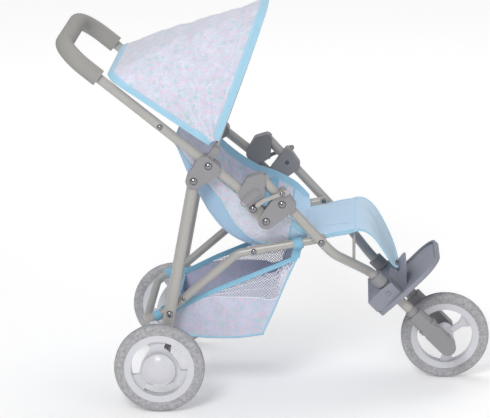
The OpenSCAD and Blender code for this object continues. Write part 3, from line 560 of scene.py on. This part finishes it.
tape("canopy_front_binding", canopy_grid(None, M, 0.5, FRONT_PHI + 0.35, np.linspace(-13, 0.6, 7)), 3.4,
     "canopy_front", [binding, thread], (1,))
tape("canopy_edge_binding", canopy_grid(None, M, 0.0, LOW_PHI, np.linspace(-0.6, 10, 6)), 3.0,
     "handle", [binding, thread], (4,))
tape("canopy_seam", canopy_grid(None, M, 0.6, SEAM_PHI, np.linspace(-1.2, 3.0, 4)), 2.2,
     "canopy_middle", [printed, thread], (1,))


# ------------------------------------------------------------------ sling seat

# top edge's place and half width, then the floor's place and half width
SLING = [
    (*on_push(214, -4), 128.5, 28, 448, 112), (*on_push(172, -4), 128.5, 46, 394, 102),
    (*on_push(128, -10), 122.6, 63, 358, 98), (*on_push(82, -13), 124.4, 84.5, 318, 98),
    (*on_push(40, -9), 124.4, 112, 286, 98), (*(FOLD + [2, 18]), 124.4, 146, 267, 98),
    (*on_front(3, -22), 124.4, 184, 262.5, 98), (*on_front(32, -13), 124.4, 215, 266, 98),
    (*on_front(62, -11), 119.4, 246, 275, 98),
]
BLUE_V, BLUE_BAND = [0, 3.0, 5.6, 8], [36, 34, 5, 5]     # height of the blue panel above the floor
EDGE_BAND = 13.0         # width of the binding along the tubes


def section_half(d):
    """Share of the half width between floor and top edge, at depth share d."""
    return float(np.interp(d, [0, 0.25, 0.5, 0.72, 0.88, 0.96, 1.0], [1, 0.84, 0.64, 0.42, 0.22, 0.09, -0.06]))


def sling_row(v):
    tx, tz, th, fx, fz, fh = spline(SLING, v)
    top, floor = np.array([tx, tz]), np.array([fx, fz])
    depth = np.linalg.norm(floor - top)
    seam = max(0.45, 1 - float(lerp(BLUE_V, BLUE_BAND, v)) / depth)
    edge = min(EDGE_BAND / depth, seam * 0.5)
    ds = np.concatenate([[0, edge * 0.5, edge], np.linspace(edge, seam, 12)[1:], np.linspace(seam, 1, 8)[1:]])
    pts = [(top + (floor - top) * d, -(fh + (th - fh) * section_half(d))) for d in ds]
    y_floor = -pts[-1][1]
    flat = []
    for y in np.linspace(-y_floor, 0, 16)[1:]:
        droop = 3.0 * (1 - (y / y_floor) ** 2)
        flat.append((floor + unit(floor - top) * droop, y))
    half = pts + flat
    row = half + [(q, -y) for q, y in half[:-1][::-1]]
    out = []
    for k, (q, y) in enumerate(row):
        wob = noise.noise(Vector((q[0] * 0.02, y * 0.03, q[1] * 0.02))) * 1.8 + math.sin(v * 9 + abs(y) * 0.05) * 0.35
        d = min(k, len(row) - 1 - k)
        wob *= min(1.0, d / 6)
        out.append(at(q, y - math.copysign(wob, y) * 0.8) + np.array([0, 0, wob * 0.3 * MM]))
    return out


SEAM_J, EDGE_J = 13, 2            # columns of the blue panel's seam and of the edge binding
V = np.linspace(0, 8, 97)
sling_grid = np.array([sling_row(v) for v in V])
cols = sling_grid.shape[1]


def sling_outer(i, j):
    d = min(j, cols - 2 - j)
    if V[i] > 6.9:
        return 1 if d >= EDGE_J else 2
    # material 3 is the darker blue: painted shade on the blue panel under the seat
    return 0 if d < SEAM_J else 3


def sling_inner(i, j):
    d = min(j, cols - 2 - j)
    if d < EDGE_J:
        return 2
    return 1 if V[i] > 6.9 else 0


p = Parts()
p.shell(sling_grid[:, ::-1], 1.8 * MM, sling_outer, sling_inner, 2)
nrm = grid_normals(sling_grid)
last = int(np.searchsorted(V, 6.9))
for col in (SEAM_J, cols - 1 - SEAM_J):
    p.rod(sling_grid[:last, col] - nrm[:last, col] * 1.0 * MM, 1.5 * MM, 2)
for row in (0, last):
    keep = slice(EDGE_J, cols - EDGE_J)
    p.rod(sling_grid[row, keep], 1.9 * MM, 2)
for col in (EDGE_J, cols - 1 - EDGE_J):
    p.stitches(sling_grid[2:, col], nrm[2:, col], 1.3, 4)
    p.stitches(sling_grid[2:, col], -nrm[2:, col], 1.3, 4)
sling = p.piece("sling_seat", [printed, blue, binding, shaded_blue, thread])
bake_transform(sling)
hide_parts("seat_back", "seat_crease", "seat_base")

# ------------------------------------------------------------------ seat front and calf panel

FRONT_LINE = [(243, 274.6, 99, 0), (262, 281.5, 101, 1.5), (284, 287.5, 103, 2.5), (303, 291.2, 104.5, 2.5),
              (318, 293.6, 105, 1.5), (330, 292.4, 104, 0.5), (345, 285.5, 103, 0), (357, 274, 101.5, 0),
              (368, 257, 98, 0), (378, 239, 91, 0), (386, 223.5, 78, 0), (392, 211.5, 54, 0), (395.2, 204.2, 23, 0)]


def front_row(v):
    x, z, half, crown = spline(FRONT_LINE, v)
    row = []
    for s in np.linspace(-1, 1, 57):
        droop = 7.5 * max(0.0, (abs(s) - 0.72) / 0.28) ** 1.6 * min(1.0, max(0.0, (5.5 - v) / 2)) * min(1, v / 1.5)
        fold = noise.noise(Vector((x * 0.018, s * 2.2, 3.1))) * 2.8 + 1.1 * math.sin(s * 7 + x * 0.09)
        fold *= 1 - abs(s) ** 4
        hollow = 5.0 * (1 - s * s) * min(1.0, max(0.0, (v - 5.5) / 3))
        dz = crown * (1 - s * s) - droop + fold
        row.append(at((x - hollow, z + dz - hollow * 0.4), s * half))
    return row


FV = np.linspace(0, len(FRONT_LINE) - 1, 85)
front_grid = np.array([front_row(v) for v in FV])
fcols = front_grid.shape[1]
fnrm = grid_normals(front_grid)
p = Parts()
p.shell(front_grid, 1.8 * MM, lambda i, j: 1 if min(j, fcols - 2 - j) < 2 else 0,
        lambda i, j: 1 if min(j, fcols - 2 - j) < 2 else 0, 1)
knee_row = int(np.searchsorted(FV, 4.35))
p.rod(front_grid[knee_row] + fnrm[knee_row] * 0.8 * MM, 1.3 * MM, 0)
for k in (knee_row - 2, knee_row + 2):
    p.stitches(front_grid[k], fnrm[k], 1.3, 2)
for col in (2, fcols - 3):
    p.rod(front_grid[:, 0 if col == 2 else fcols - 1], 1.5 * MM, 1)
    p.stitches(front_grid[:, col], fnrm[:, col], 1.3, 2)
for col in (9, fcols - 10):       # folded tuck on top of the seat, beside each edge; its cord is drawn in the darker blue as painted shade in the fold
    rows = slice(int(np.searchsorted(FV, 1.3)), int(np.searchsorted(FV, 4.0)))
    p.rod(front_grid[rows, col] + fnrm[rows, col] * 0.6 * MM, 1.1 * MM, 3)
seat_front = p.piece("seat_front_and_calf", [blue, binding, thread, shaded_blue])
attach(seat_front, "front_frame")
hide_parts("calf_panel")

# ------------------------------------------------------------------ lap belt

BELT = [(166, 322, 115), (166, 300, 106), (165, 281, 95), (165.2, 272, 82), (165.4, 268.6, 64), (165.4, 267.6, 0)]
belt_half = [spline(BELT, v) for v in np.linspace(0, 5, 41)]
line = [(q[0], q[1], -q[2]) for q in belt_half] + [(q[0], q[1], q[2]) for q in belt_half[:-1][::-1]]
belt_grid = np.array([[at((x + s, z + 0.6), y) for x, z, y in line] for s in np.linspace(0, 22, 6)])
p = Parts()
p.shell(belt_grid, 1.5 * MM, 0, 0)
bn = grid_normals(belt_grid)
for row in (1, 4):
    p.stitches(belt_grid[row], bn[row] * (1 if bn[row][40][2] > 0 else -1), 1.2, 1)
# side-release buckle, in the middle of the belt
c = at((176.5, 271.5), 0)
for dy, w, l, h in ((-15, 13, 9, 2.6), (0, 15, 9.5, 3.4), (16, 13, 9, 2.6)):
    ring = []
    for k in range(9):
        a = math.pi * k / 8
        ring.append([c + np.array([x * MM * math.sin(a) ** 0.35 * w, (dy - l * math.cos(a)) * MM,
                                   h * MM * (math.sin(a) ** 0.5) * (1 - 0.25 * x * x)]) for x in np.linspace(-1, 1, 9)])
    p.shell(np.array(ring), 1.2 * MM, 2, 2)
belt = p.piece("lap_belt_webbing", [deep_binding, thread, plastic])
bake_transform(belt)
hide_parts("lap_belt")

# ------------------------------------------------------------------ basket

BASKET_HALF = 105.0      # half width of the basket between its side panels
RIM = [(24, 150), (27.5, 157), (80, 183), (140, 208), (198, 232), (228, 246)]
LOW = [(24, 150), (20, 122), (30, 113), (47, 108), (75, 105.5), (105, 104.5), (135, 106.5), (154, 109.5), (168, 111.5)]
FRONT_EDGE = [(168, 111.5), (186, 150), (205, 196), (221, 232), (228, 246)]


def rim_z(x):
    return float(np.interp(x, [q[0] for q in RIM[1:]], [q[1] for q in RIM[1:]]))


def low_z(x):
    back = float(np.interp(x, [q[0] for q in LOW[1:]], [q[1] for q in LOW[1:]]))
    front = float(np.interp(x, [q[0] for q in FRONT_EDGE], [q[1] for q in FRONT_EDGE]))
    return max(back, front) if x > 168 else back


def belly(x, t):
    """How far a side panel of the basket bulges outwards, mm."""
    return 3.0 * math.sin(math.pi * min(1, max(0, t))) * math.sin(math.pi * min(1, max(0, (x - 20) / 208))) \
        + noise.noise(Vector((x * 0.02, t * 2.0, 7.7))) * 1.2


def net_share(x):
    """Height share of the stitched line between the printed band and the net."""
    return float(np.interp(x, [20, 60, 80, 110, 140, 168, 186, 196, 228],
                           [0.96, 0.94, 0.90, 0.78, 0.68, 0.58, 0.29, 0.05, 0.05]))


p, q = Parts(), Parts()
XS = np.concatenate([np.linspace(21, 168, 50), np.linspace(168, 227, 22)[1:]])
for side in (-1, 1):
    lower, upper = [], []
    for x in XS:
        z0, z1 = low_z(x), rim_z(x)
        split = z0 + (z1 - z0) * net_share(x)
        lower.append([at((x, z0 + (split - z0) * t), side * (BASKET_HALF + belly(x, t * net_share(x))))
                      for t in np.linspace(0, 1, 13)])
        ts = np.linspace(0, 1, 9)
        upper.append([at((x, split + (z1 - split) * t),
                         side * (BASKET_HALF + belly(x, net_share(x) + t * (1 - net_share(x))))) for t in ts])
    lower, upper = np.array(lower), np.array(upper)
    g = lower if side > 0 else lower[:, ::-1]
    p.shell(g, 1.6 * MM, 0, 0)
    sel = XS < 205
    # stitched line and piping along the edges of the panel
    p.rod(lower[sel][:, -1], 1.0 * MM, 2)
    p.rod(lower[:, 0], 1.9 * MM, 1)
    # binding along the rim
    rim_line = upper[:, -1]
    band = np.array([rim_line + np.array([0, 0, dz * MM]) for dz in (-4.5, -1.5, 1.5, 4.0)])
    p.shell(band if side > 0 else band[::-1], 3.4 * MM, 3, 3)
    p.stitches(band[1], np.repeat([[0, side, 0.0]], len(rim_line), 0), 2.1, 4)
    # net: two sets of fine slanting cords over the upper part
    for slant in (-1, 1):
        for x0 in np.arange(-60, 300, 4.8):
            pts = []
            for t in np.linspace(0, 1, 7):
                x = x0 + slant * t * 46
                if 21 < x < 226:
                    z0, z1 = low_z(x), rim_z(x)
                    s0 = net_share(x)
                    zz = z0 + (z1 - z0) * s0 + 46 * 1.0 * t
                    if zz < z1 - 1.0:
                        tt = (zz - z0) / max(z1 - z0, 1e-6)
                        pts.append(at((x, zz), side * (BASKET_HALF + belly(x, tt))))
            if len(pts) > 1:
                q.rod(np.array(pts), 0.6 * MM, 0, 4)
    for k in (0, 1, 2):
        cut = [0.35, 0.65, 0.97][k]
        s = np.array([u[0] * (1 - cut) + u[-1] * cut for u in upper])
        q.rod(s, 0.6 * MM, 0, 4)

# floor and rear panel as one sheet, sagging between the sides
floor_line = [(24, 150), (22, 136), (20, 122), (24, 115), (31, 111), (47, 107), (75, 104), (105, 103.4),
              (135, 105), (154, 107.5), (168, 110)]
rows = []
for v in np.linspace(0, len(floor_line) - 1, 60):
    x, z = spline(floor_line, v)
    rows.append([at((x - 1.0 * (1 - s * s) * (v < 3), z - 2.6 * (1 - s * s) * min(1, v / 4)
                     + 0.8 * noise.noise(Vector((x * 0.03, s * 3, 1.7)))), s * BASKET_HALF)
                 for s in np.linspace(-1, 1, 41)])
p.shell(np.array(rows), 1.6 * MM, 0, 0)
p.rod(np.array(rows)[0], 2.4 * MM, 3)
# front panel up to the stay
front_line = [(168, 110), (176, 128), (186, 151), (196, 175), (205, 197), (213, 214), (221, 232), (228, 246),
              (236, 262)]
rows = []
for v in np.linspace(0, len(front_line) - 1, 44):
    x, z = spline(front_line, v)
    rows.append([at((x + 5.0 * (1 - s * s) * math.sin(math.pi * v / 8)
                     + 1.2 * noise.noise(Vector((z * 0.03, s * 3, 5.2))), z), s * BASKET_HALF)
                 for s in np.linspace(-1, 1, 41)])
front_rows = np.array(rows)
p.shell(front_rows, 1.6 * MM, 0, 0)
p.rod(front_rows[-1], 2.4 * MM, 3)
p.rod(front_rows[0], 1.8 * MM, 1)
basket = p.piece("basket_bag", [printed_soft, binding, net, deep_binding, thread])
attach(basket, "basket_stay")
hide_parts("basket")
basket_net = q.piece("basket_net", [net])
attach(basket_net, "basket_stay")

# ------------------------------------------------------------------ webbing loops that hang the basket from the stay

p = Parts()


def wrap(centre, direction, length, r, y):
    """A flat band wrapped round a tube."""
    d = unit(direction)
    up = np.array([-d[1], d[0]])
    g = []
    for s in np.linspace(-length / 2, length / 2, 7):
        g.append([at(np.asarray(centre) + d * s + up * r * math.cos(a), y + r * math.sin(a))
                  for a in np.linspace(0, 2 * math.pi, 33)])
    p.shell(np.array(g), 1.3 * MM, 0, 0)


def strap(points, width_dir, width):
    """A flat strap along points, given as (side view point, y)."""
    pts = [np.array([a[0], a[1], y]) for a, y in points]
    dense = [spline(pts, v) for v in np.linspace(0, len(pts) - 1, 10 * (len(pts) - 1) + 1)]
    g = [[at((q[0] + width_dir[0] * s, q[1] + width_dir[1] * s), q[2]) for q in dense]
         for s in np.linspace(-width / 2, width / 2, 5)]
    p.shell(np.array(g), 1.4 * MM, 0, 0)


front_dir = unit(STAY_FRONT - STAY_BEND)
rear_dir = unit(STAY_REAR - LINK)
for side in (-1, 1):
    front_c = STAY_FRONT + (STAY_BEND - STAY_FRONT) * 0.28
    rear_c = LINK + (STAY_REAR - LINK) * 0.5
    wrap(front_c, front_dir, 15, 8.0, side * STAY_Y)
    wrap(rear_c, rear_dir, 13, 8.0, side * STAY_Y)
    strap([(front_c + [0, -6], side * 112.5), (front_c + [-3, -16], side * 109.5),
           (np.array([224, 243]), side * 108)], front_dir, 15)
    strap([(rear_c + [2, 6], side * 113), (rear_c + [14, 9], side * 110), (np.array([27, 155]), side * 108)],
          (0.3, 0.95), 13)
loops = p.piece("basket_loop_webbing", [deep_binding])
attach(loops, "basket_stay")
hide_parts("basket_loops")

# ------------------------------------------------------------------ floor, light, camera

floor = new_mesh("studio_floor", [(-6, -6, 0), (6, -6, 0), (6, 6, 0), (-6, 6, 0)], [(0, 1, 2, 3)], [], smooth=False)
stage_look = Nodes("studio_floor", (0.93, 0.93, 0.93), 0.6)
stage_look.colour(stage_look.mix(stage_look.noise(stage_look.where(), 2.0), (0.925, 0.925, 0.928), (0.94, 0.94, 0.942)))
stage_look.b.inputs["Emission Color"].default_value = (1, 1, 1, 1)
parts = stage_look.add("ShaderNodeSeparateXYZ")
stage_look.link(stage_look.where(), parts.inputs[0])
stage_look.link(stage_look.span(parts.outputs[1], -0.2, 2.4, 0.12, 0.44), stage_look.b.inputs["Emission Strength"])
floor.data.materials.append(stage_look.m)
floor.location.z = -0.0005

bpy.context.scene.view_settings.view_transform = "Standard"
world = bpy.data.worlds.new("studio")
bpy.context.scene.world = world
world.use_nodes = True
world.node_tree.nodes["Background"].inputs[0].default_value = (1.0, 1.0, 1.0, 1)
world.node_tree.nodes["Background"].inputs[1].default_value = 0.50


def area_light(name, place, target, size, power):
    data = bpy.data.lights.new(name, "AREA")
    data.shape = "DISK"
    data.size, data.energy = size, power
    o = bpy.data.objects.new(name, data)
    bpy.context.scene.collection.objects.link(o)
    o.location = place
    o.rotation_mode = "QUATERNION"
    o.rotation_quaternion = (Vector(target) - Vector(place)).to_track_quat("-Z", "Y")


area_light("key", (-0.6, -2.1, 1.9), (0, 0, 0.3), 1.0, 32)
area_light("fill", (1.7, -1.6, 1.0), (0, 0, 0.3), 1.6, 7)
area_light("top", (0.1, 0.8, 2.4), (0, 0, 0.2), 1.6, 14)

AZ, EL, ROLL = math.radians(2.91), math.radians(15.41), math.radians(-0.81)
right = Vector((math.cos(AZ), math.sin(AZ), 0))
back = Vector((math.sin(AZ) * math.cos(EL), -math.cos(AZ) * math.cos(EL), math.sin(EL)))
up = back.cross(right)
r2 = right * math.cos(ROLL) + up * math.sin(ROLL)
u2 = -right * math.sin(ROLL) + up * math.cos(ROLL)
cam_data = bpy.data.cameras.new("camera")
cam_data.sensor_width = 36
cam_data.lens = 167.45
cam = bpy.data.objects.new("camera", cam_data)
bpy.context.scene.collection.objects.link(cam)
place = Vector(at((136.29, 298.36))) + back * 3.8659
cam.matrix_world = Matrix(((r2.x, u2.x, back.x, place.x), (r2.y, u2.y, back.y, place.y),
                           (r2.z, u2.z, back.z, place.z), (0, 0, 0, 1)))
cam_data.clip_end = 100
bpy.context.scene.camera = cam
